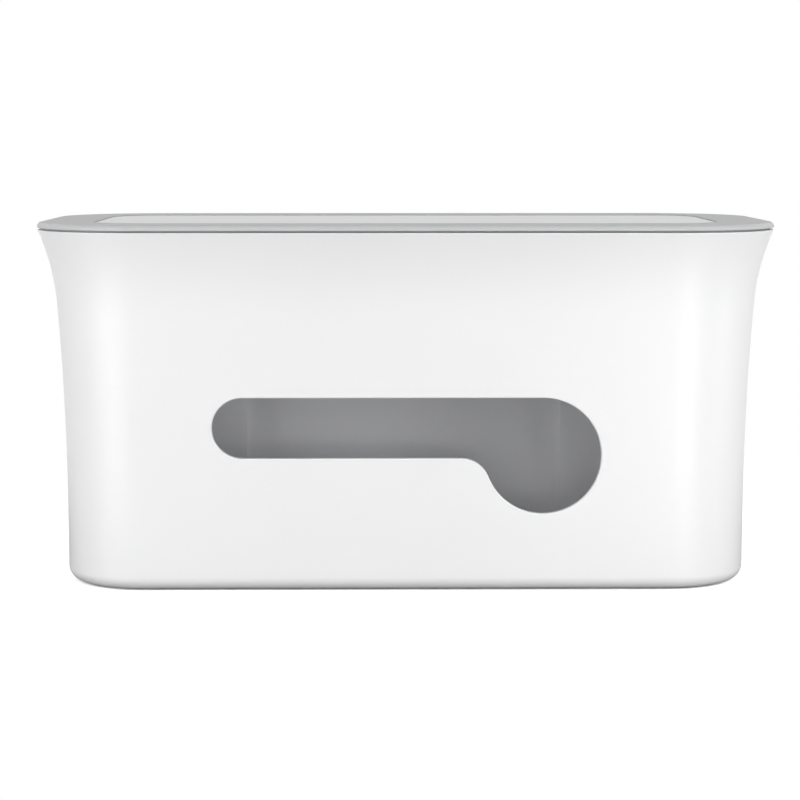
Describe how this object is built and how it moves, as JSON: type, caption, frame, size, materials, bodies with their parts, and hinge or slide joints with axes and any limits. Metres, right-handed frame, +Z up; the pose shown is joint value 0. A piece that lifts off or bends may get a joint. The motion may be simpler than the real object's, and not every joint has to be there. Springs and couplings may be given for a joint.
{
  "type": "cable management box",
  "caption": "Flared desk box that hides a power strip, with a key-shaped cable opening in its front wall and a lid that lifts off.",
  "frame": {"origin": "on the table, under the middle of the box", "axes": "+X along the length, -Y out of the wall with the cable opening, +Z up"},
  "size_m": [0.2796, 0.1346, 0.1371],
  "materials": {
    "white_plastic": "satin-gloss moulded white plastic",
    "grey_plastic": "fine-textured moulded light grey plastic",
    "pale_panel": "satin pale grey inlaid plastic panel",
    "soft_foot": "soft pale grey non-slip foot"
  },
  "bodies": {
    "tub": {"body_shell": "white_plastic", "foot_front_left": "soft_foot", "foot_front_right": "soft_foot", "foot_rear_left": "soft_foot", "foot_rear_right": "soft_foot"},
    "lid": {"lid_frame": "grey_plastic", "lid_panel": "pale_panel"}
  },
  "joints": [
    {"name": "lid_lift", "type": "slide", "parent": "tub", "child": "lid", "axis": [0, 0, 1], "range_m": [0, 0.12]}
  ]
}
